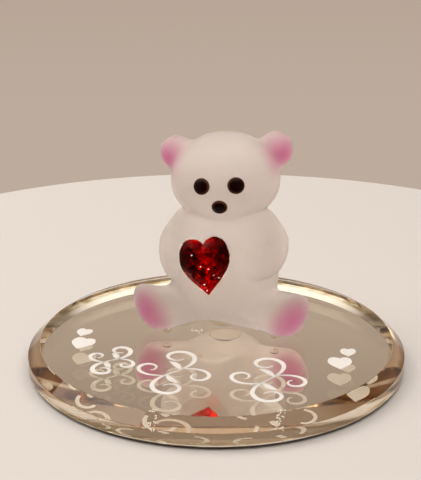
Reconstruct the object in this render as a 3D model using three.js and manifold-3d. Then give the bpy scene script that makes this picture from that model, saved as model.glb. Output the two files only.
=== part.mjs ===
// Frosted glass teddy bear with a crystal heart, glued to a round bevelled mirror.
// Millimetres, +Z up. The origin is under the middle of the mirror, on the plane its
// bumpers stand on, and the bear looks along -Y.
import * as THREE from "three";
import { mergeVertices } from "three/addons/utils/BufferGeometryUtils.js";
import Module from "manifold-3d";

const wasm = await Module();
wasm.setup();

// Mirror plate: a three-inch disc, given from the table upwards.
const plateRadius = 38.1;
const plateSegments = 64;
const bodySegments = 28;
const smallSegments = 16;
const bumperHeight = 0.5;
const bumperRadius = 4;
const bumperCircle = 27;
const paintHeight = 0.125;
const silverHeight = 0.125;
const glassHeight = 5;
const arris = 0.3;
const bevelWidth = 2.5;
const bevelDrop = 2.25;
const paintLevel = bumperHeight;
const silverLevel = paintLevel + paintHeight;
const glassLevel = silverLevel + silverHeight;
const topLevel = glassLevel + glassHeight;

// Printed ornament: white ink on top of the glass.
const inkHeight = 0.1;
const smallHeart = { width: 3.2, height: 3.6, bearing: 85 };
const largeHeart = { width: 4.8, height: 5.4, bearing: 73.5 };
const heartCircle = 27.2;
const heartLean = 8;
const penTipWidth = 0.3;
const strokeSteps = 16;

// Half of a flourish, from its middle: a curling stem, a tendril and a leaf. Headings are
// in degrees, lengths in millimetres, and bend and curl are degrees turned per millimetre
// at the start and at the end of a stroke.
const flourishHalf = [
  { x: 0, y: 0, heading: 52, length: 21, bend: 0, curl: 36, width: 1 },
  { x: 1.4, y: 1.9, heading: 14, length: 14.5, bend: -3, curl: -46, width: 0.8 },
  { x: 1, y: 1.4, heading: 112, length: 4.6, bend: 9, curl: 9, width: 1.3 },
];
const flourishes = {
  scroll_left: { place: [-18.3, -14.5], turn: -14, size: 0.66 },
  scroll_middle: { place: [-5.2, -17.6], turn: -2, size: 0.98 },
  scroll_right: { place: [13.4, -17.6], turn: 6, size: 0.98 },
};

// Bear: x is to the right of someone facing it, -y is where it looks, and z is height
// above the glass. Places on the head count from the head's middle.
const bearPlace = [0.1, 9.7, topLevel];
const bearTurn = 2.5;
const gap = 0.3;
const seatGlue = 0.5;
const footGlue = 0.25;
const seatGlueRadius = 5.8;
const seatGlueTaper = 0.8;
const footGlueRadius = 1.6;
const bodyDepth = 0.83;
const torsoProfile = [
  [4.2, seatGlue],
  [6.8, 1.9],
  [9, 4.4],
  [10.4, 7.4],
  [10.75, 10.5],
  [10.5, 14],
  [10.1, 18],
  [9.4, 21.5],
  [8.1, 24.3],
  [6, 26.6],
  [3.4, 28.2],
];
const headPlace = [0, 0, 31.6];
const headTilt = -3.5;
const skull = { place: [0, 0, 0], half: [10.9, 9.5, 8.9], around: 28, along: 16 };
const muzzle = { place: [0, -7, -3], half: [4.6, 3, 3.4], around: 14, along: 8 };
const leftEar = { place: [-9.75, 1.5, 4.5], half: [3.5, 2.5, 3.6], around: 16, along: 10 };
const rightEar = { place: [10.25, 1.5, 4.9], half: [3.55, 2.5, 3.7], around: 16, along: 10 };
const leftEye = { place: [-3.27, -8.8, 0.6], half: [1.68, 1.1, 1.7], around: 12, along: 8 };
const rightEye = { ...leftEye, place: [3.27, -8.8, 0.6] };
const noseDot = { place: [0, -10.1, -3.1], half: [1.6, 1, 1.3], around: 12, along: 8 };
const limbFullness = 2.5;
const armThickness = 3.9;
const leftArm = [
  [-6, 1, 22.4],
  [-9.1, -1.2, 16.9],
  [-8.8, -4.8, 13.9],
  [-4.2, -8.8, 14.2],
];
const rightArm = [
  [6, 1, 22.8],
  [9.1, -1.4, 18.6],
  [9, -4.6, 15.9],
  [3.9, -9.2, 15.8],
];
const legThickness = 4.3;
const rightLeg = [
  [2.5, -1, 7.4],
  [8.5, -3.6, 5.9],
  [14.4, -6.2, 4.6],
];
const footPlace = new THREE.Vector3(14, -6.7, 4.85);
const footHalf = [3.7, 2.6, 5.6];
const toeDirection = new THREE.Vector3(0.53, 0.07, 0.84).normalize();
const soleDirection = new THREE.Vector3(0.45, -0.87, -0.22);

// Heart stone: its own z points out of its face, and its tip is down its own y.
const stoneWidth = 10;
const stoneHeight = 11;
const stonePlace = new THREE.Vector3(-2.55, -10.9, 15.75);
const stoneLean = 20;
const stoneRoll = 9.4;
const tableScale = 0.5;
const crownHeight = 1.4;
const girdleHalf = 0.15;
const pavilionDepth = 2;
const foilHeight = 0.15;
const foilScale = 0.97;
const bead = { place: [-1.4, -9.8, 13], half: [2.4, 1.6, 2.6], around: 14, along: 8 };

const radians = THREE.MathUtils.degToRad;

function finish(color, roughness, metalness = 0, opacity = 1) {
  const look = { color, roughness, metalness, opacity, transparent: opacity < 1 };
  return new THREE.MeshStandardMaterial({ ...look, flatShading: true });
}

const clearGlass = finish(0xe4efe9, 0.05, 0, 0.35);
const silver = finish(0xd8d2c8, 0.08, 1);
const backingPaint = finish(0x77706a, 0.7);
const clearVinyl = finish(0xe8e8e4, 0.3, 0, 0.5);
const whiteInk = finish(0xf6efe2, 0.55);
const frostedGlass = finish(0xe6d9cc, 0.6);
const frostedPink = finish(0xc87890, 0.6);
const blackGlass = finish(0x120606, 0.1);
const redCrystal = finish(0xa00818, 0.03);
const foil = finish(0xb8a070, 0.3, 1);
const clearGlue = finish(0xf0efe8, 0.1, 0, 0.4);

// Geometry to solid and back, for the cuts and joins.
function solidOf(geometry) {
  const bare = geometry.clone();
  bare.deleteAttribute("normal");
  bare.deleteAttribute("uv");
  const merged = mergeVertices(bare, 1e-4);
  const vertProperties = merged.attributes.position.array;
  const triVerts = new Uint32Array(merged.index.array);
  return new wasm.Manifold(new wasm.Mesh({ numProp: 3, vertProperties, triVerts }));
}

function geometryOf(solid) {
  const mesh = solid.getMesh();
  const geometry = new THREE.BufferGeometry();
  geometry.setAttribute("position", new THREE.BufferAttribute(mesh.vertProperties, 3));
  geometry.setIndex(new THREE.BufferAttribute(mesh.triVerts, 1));
  geometry.computeVertexNormals();
  return geometry;
}

function piece(name, shape, material) {
  const geometry = shape.isBufferGeometry ? shape : geometryOf(shape);
  const mesh = new THREE.Mesh(geometry, material);
  mesh.name = name;
  return mesh;
}

// A turned form about +Z; the profile runs up the outside from the axis to the axis.
function turned(profile, segments) {
  const points = profile.map(([radius, height]) => new THREE.Vector2(radius, height));
  return new THREE.LatheGeometry(points, segments).rotateX(Math.PI / 2);
}

function disc(radius, bottom, height, segments) {
  const top = bottom + height;
  return turned([[0, bottom], [radius, bottom], [radius, top], [0, top]], segments);
}

// An ellipsoid, grown by clearance all round.
function ball({ place, half, around, along }, clearance = 0) {
  const geometry = new THREE.SphereGeometry(1, around, along).rotateX(Math.PI / 2);
  geometry.scale(half[0] + clearance, half[1] + clearance, half[2] + clearance);
  return geometry.translate(...place);
}

// A ball drawn out along a curve from tip to tip, with full rounded ends.
function limb(points, thickness) {
  const curve = new THREE.CatmullRomCurve3(points.map((p) => new THREE.Vector3(...p)));
  const geometry = new THREE.SphereGeometry(1, 16, 12);
  const position = geometry.attributes.position;
  const up = new THREE.Vector3(0, 0, 1);
  for (let i = 0; i < position.count; i++) {
    const reach = position.getY(i);
    const ring = Math.hypot(position.getX(i), position.getZ(i)) || 1;
    const fall = Math.max(0, 1 - Math.abs(reach) ** limbFullness);
    const radius = thickness * fall ** (1 / limbFullness);
    const share = (reach + 1) / 2;
    const tangent = curve.getTangentAt(share);
    const side = new THREE.Vector3().crossVectors(tangent, up).normalize();
    const top = new THREE.Vector3().crossVectors(side, tangent);
    const spot = curve.getPointAt(share);
    spot.addScaledVector(side, (position.getX(i) / ring) * radius);
    spot.addScaledVector(top, (position.getZ(i) / ring) * radius);
    position.setXYZ(i, spot.x, spot.y, spot.z);
  }
  return geometry;
}

// Closed loft through rings of equal length, fanned shut at both ends.
function loft(rings) {
  const count = rings[0].length;
  const middleOf = (ring) =>
    ring.reduce((sum, p) => sum.add(p), new THREE.Vector3()).divideScalar(count);
  const corners = [middleOf(rings[0]), ...rings.flat(), middleOf(rings.at(-1))];
  const lastRing = 1 + (rings.length - 1) * count;
  const index = [];
  for (let j = 0; j < count; j++) {
    const next = (j + 1) % count;
    index.push(0, 1 + next, 1 + j);
    for (let low = 1; low < lastRing; low += count) {
      const high = low + count;
      index.push(low + j, low + next, high + next, low + j, high + next, high + j);
    }
    index.push(corners.length - 1, lastRing + j, lastRing + next);
  }
  const geometry = new THREE.BufferGeometry().setFromPoints(corners);
  geometry.setIndex(index);
  geometry.computeVertexNormals();
  return geometry;
}

// Heart outline, tip down, from the notch round the right lobe.
function heartShape(width, height) {
  const half = width / 2;
  const low = -height / 2;
  const notch = height * 0.42;
  const crest = height * 0.6;
  const widest = height * 0.16;
  const shape = new THREE.Shape().moveTo(0, notch);
  shape.bezierCurveTo(half * 0.3, crest, half, crest * 0.98, half, widest);
  shape.bezierCurveTo(half, -height * 0.1, half * 0.36, -height * 0.32, 0, low);
  shape.bezierCurveTo(-half * 0.36, -height * 0.32, -half, -height * 0.1, -half, widest);
  shape.bezierCurveTo(-half, crest * 0.98, -half * 0.3, crest, 0, notch);
  return shape;
}

function printHeart({ width, height, bearing }, side) {
  const options = { depth: inkHeight, bevelEnabled: false, curveSegments: 8 };
  const geometry = new THREE.ExtrudeGeometry(heartShape(width, height), options);
  const around = radians(side * bearing);
  geometry.rotateZ(radians(side * heartLean));
  return geometry.translate(heartCircle * Math.sin(around), -heartCircle * Math.cos(around), 0);
}

// A pen stroke whose bend grows steadily; it thins at both ends.
function stroke({ x, y, heading, length, bend, curl, width }) {
  const step = length / strokeSteps;
  const spot = new THREE.Vector3(x, y, 0);
  const rings = [];
  for (let i = 0; i <= strokeSteps; i++) {
    const run = i * step;
    const bendHere = bend + ((curl - bend) * run) / length;
    const angle = radians(heading + ((bend + bendHere) / 2) * run);
    const across = new THREE.Vector3(-Math.sin(angle), Math.cos(angle), 0);
    const swell = Math.sin((Math.PI * i) / strokeSteps);
    const half = (penTipWidth + (width - penTipWidth) * swell) / 2;
    const left = spot.clone().addScaledVector(across, half);
    const right = spot.clone().addScaledVector(across, -half);
    rings.push([right, left, left.clone().setZ(inkHeight), right.clone().setZ(inkHeight)]);
    const onward = angle + radians((bendHere * step) / 2);
    spot.add(new THREE.Vector3(Math.cos(onward), Math.sin(onward), 0).multiplyScalar(step));
  }
  return loft(rings);
}

// Both halves of a flourish, the second turned half round, joined into one solid.
function flourish({ place, turn, size }) {
  const solids = [];
  for (const mark of flourishHalf) {
    const sized = {
      ...mark,
      x: mark.x * size,
      y: mark.y * size,
      length: mark.length * size,
      bend: mark.bend / size,
      curl: mark.curl / size,
    };
    solids.push(solidOf(stroke(sized)), solidOf(stroke(sized).rotateZ(Math.PI)));
  }
  const joined = solids.reduce((all, solid) => all.add(solid));
  return geometryOf(joined).rotateZ(radians(turn)).translate(...place, 0);
}

function printGroup() {
  const ink = new THREE.Group();
  ink.position.z = topLevel;
  for (const [name, form] of Object.entries(flourishes)) {
    ink.add(piece(name, flourish(form), whiteInk));
  }
  for (const [side, word] of [[-1, "left"], [1, "right"]]) {
    ink.add(piece("print_heart_small_" + word, printHeart(smallHeart, side), whiteInk));
    ink.add(piece("print_heart_large_" + word, printHeart(largeHeart, side), whiteInk));
  }
  return ink;
}

function mirrorGroup() {
  const mirror = new THREE.Group();
  const backRadius = plateRadius - arris;
  const glassProfile = [
    [0, 0],
    [backRadius, 0],
    [plateRadius, arris],
    [plateRadius, glassHeight - bevelDrop],
    [plateRadius - bevelWidth, glassHeight],
    [0, glassHeight],
  ];
  const glass = piece("mirror_glass", turned(glassProfile, plateSegments), clearGlass);
  glass.position.z = glassLevel;
  const silverDisc = disc(backRadius, silverLevel, silverHeight, plateSegments);
  const paintDisc = disc(backRadius, paintLevel, paintHeight, plateSegments);
  mirror.add(glass);
  mirror.add(piece("silver_coating", silverDisc, silver));
  mirror.add(piece("backing_paint", paintDisc, backingPaint));
  for (let i = 0; i < 4; i++) {
    const bumper = piece("bumper_" + (i + 1), disc(bumperRadius, 0, bumperHeight, smallSegments), clearVinyl);
    const bearing = radians(45 + 90 * i);
    bumper.position.set(bumperCircle * Math.cos(bearing), bumperCircle * Math.sin(bearing), 0);
    mirror.add(bumper);
  }
  return mirror;
}

function torsoSolid(clearance = 0) {
  const side = torsoProfile.map(([radius, height]) => [radius + clearance, height]);
  const top = torsoProfile.at(-1)[1] + clearance;
  return solidOf(turned([[0, seatGlue], ...side, [0, top]], bodySegments).scale(1, bodyDepth, 1));
}

// A solid of the head, tilted with it.
function headSolid(form, clearance = 0) {
  const geometry = ball(form, clearance).rotateY(radians(headTilt));
  return solidOf(geometry.translate(...headPlace));
}

// A thick oval pad, its long axis towards the toe and its thin one along the sole's normal.
function footGeometry(side) {
  const mirror = new THREE.Vector3(side, 1, 1);
  const toe = toeDirection.clone().multiply(mirror);
  const sole = soleDirection.clone().multiply(mirror);
  sole.addScaledVector(toe, -sole.dot(toe)).normalize();
  const back = sole.clone().negate();
  const across = new THREE.Vector3().crossVectors(back, toe);
  const turn = new THREE.Matrix4().makeBasis(across, back, toe);
  turn.setPosition(footPlace.clone().multiply(mirror));
  return ball({ place: [0, 0, 0], half: footHalf, around: 16, along: 10 }).applyMatrix4(turn);
}

function legSolid(side, torsoRoom) {
  const path = rightLeg.map(([x, y, z]) => [side * x, y, z]);
  const blockSide = 60;
  const block = new THREE.BoxGeometry(blockSide, blockSide, blockSide);
  const aboveGlue = solidOf(block.translate(0, 0, footGlue + blockSide / 2));
  const leg = solidOf(limb(path, legThickness)).add(solidOf(footGeometry(side)));
  return leg.subtract(torsoRoom).intersect(aboveGlue);
}

// Rings of the stone's outline, each given by its scale and its height on the stone.
function stoneLoft(levels) {
  const outline = heartShape(stoneWidth, stoneHeight).getPoints(6).slice(0, -1).reverse();
  return loft(
    levels.map(([scale, z]) => outline.map((p) => new THREE.Vector3(p.x * scale, p.y * scale, z))),
  );
}

const pointScale = 0.001;
const foilFront = girdleHalf + gap;
const foilBack = foilFront + foilHeight;
const foilTip = pavilionDepth + gap + foilHeight;
const crystalLevels = [
  [pointScale, -pavilionDepth],
  [1, -girdleHalf],
  [1, girdleHalf],
  [tableScale, crownHeight],
];
const foilLevels = [
  [pointScale, -foilTip],
  [foilScale, -foilBack],
  [foilScale, -foilFront],
  [pointScale, foilHeight - foilTip],
];
const stoneRoomLevels = [
  [pointScale, -foilTip - gap],
  [foilScale, -foilBack - gap],
  [1 / foilScale ** 2, -foilFront],
  [1 / foilScale ** 2, crownHeight],
];

function stoneMatrix() {
  const turn = new THREE.Euler(radians(90 - stoneLean), 0, radians(stoneRoll));
  const matrix = new THREE.Matrix4().makeRotationFromEuler(turn);
  return matrix.setPosition(stonePlace);
}

function heartGroup() {
  const heart = new THREE.Group();
  heart.applyMatrix4(stoneMatrix());
  heart.add(piece("heart_crystal", stoneLoft(crystalLevels), redCrystal));
  heart.add(piece("heart_foil", stoneLoft(foilLevels), foil));
  return heart;
}

function bearGroup() {
  const bear = new THREE.Group();
  bear.position.set(...bearPlace);
  bear.rotation.z = radians(bearTurn);

  const headRoom = headSolid(skull, gap).add(headSolid(muzzle, gap));
  const torsoRoom = torsoSolid(gap);
  const stoneRoom = solidOf(stoneLoft(stoneRoomLevels).applyMatrix4(stoneMatrix()));
  const sides = [
    { side: -1, word: "left", arm: leftArm, ear: leftEar, eye: leftEye },
    { side: 1, word: "right", arm: rightArm, ear: rightEar, eye: rightEye },
  ];
  let beadSolid = solidOf(ball(bead)).subtract(torsoRoom).subtract(stoneRoom);
  for (const { side, word, arm, ear, eye } of sides) {
    const armSolid = solidOf(limb(arm, armThickness)).subtract(torsoRoom).subtract(headRoom);
    const heel = footPlace.clone().addScaledVector(toeDirection, -footHalf[2]);
    const glueDrop = disc(footGlueRadius, 0, footGlue, smallSegments).translate(side * heel.x, heel.y, 0);
    bear.add(piece("ear_" + word, headSolid(ear).subtract(headRoom), frostedPink));
    bear.add(piece("eye_" + word, headSolid(eye).subtract(headRoom), blackGlass));
    bear.add(piece("arm_" + word, armSolid.subtract(stoneRoom), frostedGlass));
    bear.add(piece("leg_" + word, legSolid(side, torsoRoom), frostedGlass));
    bear.add(piece("foot_adhesive_" + word, glueDrop, clearGlue));
    beadSolid = beadSolid.subtract(solidOf(limb(arm, armThickness + gap)));
  }

  const torso = torsoSolid().subtract(headRoom).subtract(stoneRoom);
  const seatTop = seatGlueRadius - seatGlueTaper;
  const seatProfile = [[0, 0], [seatGlueRadius, 0], [seatTop, seatGlue], [0, seatGlue]];
  const seatGeometry = turned(seatProfile, bodySegments).scale(1, bodyDepth, 1);
  bear.add(piece("torso", torso, frostedGlass));
  bear.add(piece("head", headSolid(skull).add(headSolid(muzzle)), frostedGlass));
  bear.add(piece("nose", headSolid(noseDot).subtract(headRoom), blackGlass));
  bear.add(piece("heart_adhesive", beadSolid, clearGlue));
  bear.add(piece("seat_adhesive", seatGeometry, clearGlue));
  bear.add(heartGroup());
  return bear;
}

const figurine = new THREE.Group();
figurine.add(mirrorGroup(), printGroup(), bearGroup());

export default figurine;
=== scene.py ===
"""Frosted glass teddy bear with a red crystal heart on a round bevelled mirror.

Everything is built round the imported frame. Shapes are written in millimetres and become
metres as their meshes are made. The bear has its own axes: it looks along -y, x is to the
right of someone facing it, and z is height above the glass.
"""

import math

import bpy
import numpy as np
from mathutils import Matrix, Vector


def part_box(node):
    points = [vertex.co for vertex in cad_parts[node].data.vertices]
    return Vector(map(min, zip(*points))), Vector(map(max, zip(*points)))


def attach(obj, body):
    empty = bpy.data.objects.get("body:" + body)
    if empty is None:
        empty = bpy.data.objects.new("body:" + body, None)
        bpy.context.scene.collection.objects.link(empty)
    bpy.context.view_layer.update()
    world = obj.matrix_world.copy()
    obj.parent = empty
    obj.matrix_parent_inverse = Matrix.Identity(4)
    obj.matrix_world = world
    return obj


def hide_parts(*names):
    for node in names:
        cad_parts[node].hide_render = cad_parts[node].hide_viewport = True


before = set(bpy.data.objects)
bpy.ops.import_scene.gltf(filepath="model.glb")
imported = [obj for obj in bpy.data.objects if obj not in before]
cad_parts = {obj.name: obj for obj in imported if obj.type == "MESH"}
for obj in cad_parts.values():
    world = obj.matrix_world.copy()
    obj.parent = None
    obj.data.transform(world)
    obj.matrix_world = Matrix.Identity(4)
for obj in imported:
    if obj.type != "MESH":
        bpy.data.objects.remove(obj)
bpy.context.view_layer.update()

MM = 0.001
FILM = 0.01  # how far a coating or ink reaches into the glass that it is bonded to


def box_of(node):
    """The low and the high corner of a node's box, in millimetres."""
    return [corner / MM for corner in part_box(node)]


def turned(degrees, axis="Z"):
    return Matrix.Rotation(math.radians(degrees), 4, axis)


# Plate, from the frame.
plate_low, plate_high = box_of("mirror_glass")
GLASS_LEVEL = plate_low.z
TOP_LEVEL = plate_high.z
PLATE_RADIUS = plate_high.x
BEVEL_WIDTH = 2.5
BEVEL_DROP = 2.25
ARRIS = 0.3
EDGE_STEP = 0.12  # the fine flats that break the bevel's two edges

# The bear's axes: over the middle of its seat, turned a little on the plate.
seat_low, seat_high = box_of("seat_adhesive")
SEAT_MIDDLE = (seat_low + seat_high) / 2
BEAR_TURN = 2.5
BEAR_AXES = Matrix.Translation((SEAT_MIDDLE.x, SEAT_MIDDLE.y, TOP_LEVEL)) @ turned(BEAR_TURN)
HEAD_MIDDLE = np.array([0, 0, 31.6])
HEAD_TILT = -3.5
HEAD_AXES = Matrix.Translation(HEAD_MIDDLE) @ turned(HEAD_TILT, "Y")

# The ring of painted reflection at the silver's edge, dark brown for the room seen in the bevel, and the
# pale amber patches in it.
EDGE_REFLECTION_WIDTH = 3.4
EDGE_REFLECTION_FADE = 1
EDGE_REFLECTION_DARK = (0.36, 0.25, 0.085)
EDGE_REFLECTION_PALE = (0.84, 0.74, 0.56)


# ------------------------------ meshes and objects


def in_scene(name, data):
    made = bpy.data.objects.new(name, data)
    bpy.context.scene.collection.objects.link(made)
    return made


def new_piece(name, points, faces, axes=Matrix.Identity(4), smooth=True, sharp_rings=()):
    """A mesh object from points in millimetres, given in the axes that hold it."""
    turn = np.array(axes)
    placed = (np.asarray(points, float) @ turn[:3, :3].T + turn[:3, 3]) * MM
    mesh = bpy.data.meshes.new(name)
    mesh.from_pydata(placed.tolist(), [], [list(map(int, face)) for face in faces])
    mesh.update()
    if smooth:
        mesh.shade_smooth()
    for edge in mesh.edges:
        if any(a <= v < b and a <= w < b for a, b in sharp_rings for v, w in [edge.vertices]):
            edge.use_edge_sharp = True
    return in_scene(name, mesh)


def stacked_faces(rings, around):
    """Faces over rings of points that are stacked between a first point and a last one."""
    last = 1 + (rings - 1) * around
    faces = []
    for j in range(around):
        k = (j + 1) % around
        faces.append((0, 1 + k, 1 + j))
        for low in range(1, last, around):
            faces.append((low + j, low + k, low + around + k, low + around + j))
        faces.append((last + around, last + j, last + k))
    return faces


def lathe(name, profile, around, sharp=(), axes=Matrix.Identity(4), squeeze=1.0):
    """A turned piece: the profile of (radius, height) runs up the outside, axis to axis."""
    angles = np.arange(around) * 2 * math.pi / around
    rings = profile[1:-1]
    points = [(0, 0, profile[0][1])]
    for radius, height in rings:
        for angle in angles:
            points.append((radius * math.cos(angle), squeeze * radius * math.sin(angle), height))
    points.append((0, 0, profile[-1][1]))
    sharp_rings = [(1 + (i - 1) * around, 1 + i * around) for i in sharp]
    return new_piece(name, points, stacked_faces(len(rings), around), axes, sharp_rings=sharp_rings)


def finished(piece, material, slot, *nodes):
    """Gives a piece its material, hangs it from the root and hides the nodes it stands for. The slot is not
    used.
    """
    piece.data.materials.clear()
    piece.data.materials.append(material)
    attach(piece, "root")
    if nodes:
        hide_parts(*nodes)


# ------------------------------ node trees


class Nodes:
    """A node tree in the making."""

    def __init__(self, tree):
        self.tree = tree

    def fill(self, socket, value):
        """Links an input to an output, or sets it to a plain value. None leaves it alone."""
        if isinstance(value, bpy.types.NodeSocket):
            self.tree.links.new(value, socket)
        elif value is not None:
            socket.default_value = value

    def node(self, kind, *values, named=None, **settings):
        """A node with its settings, its inputs filled in order, and then others by name."""
        node = self.tree.nodes.new(kind)
        for key, value in settings.items():
            setattr(node, key, value)
        for socket, value in zip([s for s in node.inputs if s.enabled], values):
            self.fill(socket, value)
        for label, value in (named or {}).items():
            self.fill(node.inputs[label], value)
        return node

    def calc(self, operation, *values):
        return self.node("ShaderNodeMath", *values, operation=operation).outputs[0]

    def vector(self, operation, *values):
        node = self.node("ShaderNodeVectorMath", *values, operation=operation)
        return next(socket for socket in node.outputs if socket.enabled)

    def blend(self, factor, a, b, **settings):
        """Colour a where the factor is 0 and colour b where it is 1."""
        return self.node("ShaderNodeMix", factor, a, b, data_type="RGBA", **settings).outputs["Result"]

    def spread(self, value, start=0.0, end=1.0, low=0.0, high=1.0):
        """Low at the start of a value's range and high at its end."""
        return self.node("ShaderNodeMapRange", value, start, end, low, high).outputs["Result"]

    def ramp(self, factor, stops):
        """The colours of the stops, each at its place from 0 to 1."""
        node = self.node("ShaderNodeValToRGB", factor)
        while len(node.color_ramp.elements) < len(stops):
            node.color_ramp.elements.new(0.5)
        for element, (place, colour) in zip(node.color_ramp.elements, stops):
            element.position = place
            element.color = (*colour, 1)
        return node.outputs["Color"]


# ------------------------------ materials


class Finish(Nodes):
    """A material in the making, patterned on the piece's own coordinates."""

    def __init__(self, name, **settings):
        self.material = bpy.data.materials.new(name)
        self.material.use_nodes = True
        super().__init__(self.material.node_tree)
        self.set(**settings)

    def set(self, **inputs):
        """Fills inputs of the surface shader. Returns the material."""
        shader = self.tree.nodes["Principled BSDF"]
        for label, value in inputs.items():
            self.fill(shader.inputs[label.replace("_", " ")], value)
        return self.material

    def place(self):
        return self.node("ShaderNodeTexCoord").outputs["Object"]

    def noise(self, scale, detail, roughness=0.5):
        named = {"Vector": self.place(), "Scale": scale, "Detail": detail, "Roughness": roughness}
        return self.node("ShaderNodeTexNoise", named=named).outputs["Fac"]

    def colours(self, factor, low, high, start=0.3, end=0.7):
        """Runs from the low colour to the high one as the factor rises."""
        return self.ramp(factor, [(start, low), (end, high)])

    def relief(self, height, distance, strength):
        named = {"Height": height, "Distance": distance, "Strength": strength}
        return self.node("ShaderNodeBump", named=named).outputs["Normal"]

    def attribute(self, name):
        return self.node("ShaderNodeAttribute", attribute_name=name).outputs["Fac"]


def frosted_glass():
    """Sandblasted white glass, with pink glass under it where the blush is."""
    finish = Finish(
        "sandblasted_glass",
        Roughness=0.7,
        IOR=1.45,
        Transmission_Weight=0.9,
        Subsurface_Weight=1.0,
        Subsurface_Radius=(1.0, 0.85, 0.75),
        Subsurface_Scale=0.008,
        Specular_IOR_Level=0.3,
        Sheen_Weight=0.6,
        Sheen_Roughness=0.45,
    )
    white = finish.colours(finish.noise(90, 4, 0.55), (0.95, 0.90, 0.88), (0.99, 0.95, 0.93))
    tinted = finish.blend(finish.attribute("blush"), white, (0.78, 0.12, 0.42, 1))
    return finish.set(Base_Color=tinted, Normal=finish.relief(finish.noise(5200, 2), 0.00003, 0.5))


def bead_glass():
    """Shiny dark glass of the eyes and the nose, with a painted reflection: brown round its brim."""
    finish = Finish("dark_bead_glass", Roughness=0.22, IOR=1.5, Specular_IOR_Level=0.08)
    dark = finish.colours(finish.noise(420, 3), (0.004, 0.0006, 0.0006), (0.012, 0.0015, 0.001))
    return finish.set(Base_Color=finish.blend(finish.attribute("painted_brim_reflection"), dark, (0.1, 0.036, 0.018, 1)))


def red_crystal():
    """Ruby glass with painted shade that darkens it towards the lobes, and a dim red gleam on its surface.
    """
    finish = Finish(
        "stone_crystal", Roughness=0.0, IOR=1.58, Transmission_Weight=1.0, Specular_Tint=(0.3, 0.02, 0.02, 1)
    )
    red = finish.colours(finish.noise(260, 1), (0.52, 0.0, 0.0), (0.8, 0.0, 0.001))
    # Painted shade: the red darkens with distance across the stone, towards both lobes.
    from_middle = finish.vector("SUBTRACT", finish.place(), STONE_AXES.translation * MM)
    across = finish.vector("DOT_PRODUCT", from_middle, STONE_AXES.col[0][:3])
    lobe = finish.spread(finish.calc("ABSOLUTE", across), *(reach * MM for reach in LOBE_SHADE_FROM))
    return finish.set(Base_Color=finish.blend(lobe, red, (0.3, 0.0, 0.0, 1)))


def stone_foil():
    """Foil pressed into small flats, each with a lean of its own."""
    finish = Finish("crinkled_foil", Metallic=1.0, Roughness=0.12)
    shine = finish.colours(finish.noise(900, 3), (0.62, 0.56, 0.45), (0.86, 0.8, 0.68))
    flats = finish.node("ShaderNodeTexVoronoi", named={"Vector": finish.place(), "Scale": 1100})
    face = finish.node("ShaderNodeNewGeometry").outputs["Normal"]
    leaning = finish.vector("SUBTRACT", face, [FOIL_LEAN] * 3)
    leaning = finish.vector("MULTIPLY_ADD", flats.outputs["Color"], [2 * FOIL_LEAN] * 3, leaning)
    return finish.set(Base_Color=shine, Normal=finish.vector("NORMALIZE", leaning))


def mirror_silver():
    """Silvering seen through the glass, with a painted reflection of the room round its edge: dark brown
    with pale amber patches.
    """
    finish = Finish("mirror_silvering", Metallic=1.0, Roughness=0.015)
    silver = finish.colours(finish.noise(60, 4), (0.915, 0.845, 0.755), (0.935, 0.865, 0.775))
    # Painted reflection: brown and amber patches in the ring under the bevel.
    painted_edge_reflection = finish.colours(finish.noise(190, 3), EDGE_REFLECTION_DARK, EDGE_REFLECTION_PALE, 0.36, 0.58)
    reach = finish.vector("LENGTH", finish.vector("MULTIPLY", finish.place(), (1, 1, 0)))
    start = PLATE_RADIUS - EDGE_REFLECTION_WIDTH
    edge = finish.spread(reach, start * MM, (start + EDGE_REFLECTION_FADE) * MM)
    return finish.set(Base_Color=finish.blend(edge, silver, painted_edge_reflection))


def plain_finish(name, grain, colours=None, roughness=None, relief=None, **settings):
    """A finish that one noise varies: in its colour, its roughness or its relief."""
    finish = Finish(name, **settings)
    noise = finish.noise(*grain)
    if colours:
        finish.set(Base_Color=finish.colours(noise, *colours))
    if roughness:
        finish.set(Roughness=finish.spread(noise, 0.0, 1.0, *roughness))
    if relief:
        finish.set(Normal=finish.relief(noise, *relief))
    return finish.material


def plate_glass():
    """Clear polished glass, with the faint pulls that a polishing belt leaves."""
    clear = {"Base_Color": (0.985, 0.99, 0.975, 1), "IOR": 1.52, "Transmission_Weight": 1.0}
    return plain_finish("polished_plate_glass", (55, 2, 0.4), relief=(0.00002, 0.35), Roughness=0.0, **clear)


def backing_paint():
    """Rough grey-brown paint with a fine orange peel."""
    greys = ((0.14, 0.12, 0.11), (0.2, 0.18, 0.165))
    return plain_finish("rough_back_paint", (900, 5), greys, (0.5, 0.75), (0.00003, 0.4))


def clear_vinyl():
    """Soft clear plastic, dulled unevenly by handling."""
    clear = {"Base_Color": (0.95, 0.95, 0.93, 1), "IOR": 1.5, "Transmission_Weight": 0.85}
    return plain_finish("soft_clear_vinyl", (1500, 3), roughness=(0.12, 0.4), **clear)


def white_ink():
    """Screen-printed ink: matt, with pinholes too fine to see singly."""
    return plain_finish(
        "printed_ink",
        (2600, 3),
        ((0.93, 0.91, 0.87), (0.98, 0.96, 0.93)),
        relief=(0.00002, 0.5),
        Roughness=0.5,
        IOR=1.45,
        Subsurface_Weight=1.0,
        Subsurface_Radius=(1.0, 0.95, 0.85),
        Subsurface_Scale=0.0004,
    )


def pale_bubble():
    """Air caught in the glue, drawn as a pale opaque speck: a painted glint."""
    pales = ((0.9, 0.86, 0.76), (0.98, 0.95, 0.88))
    return plain_finish("pale_bubble", (4000, 1), pales, Roughness=0.25, IOR=1.5)


def bright_chip():
    """A pale flake laid on the stone: a painted glint."""
    pales = ((0.98, 0.86, 0.84), (0.99, 0.95, 0.93))
    return plain_finish("bright_chip", (3000, 1), pales, Metallic=1.0, Roughness=0.35)


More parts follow.
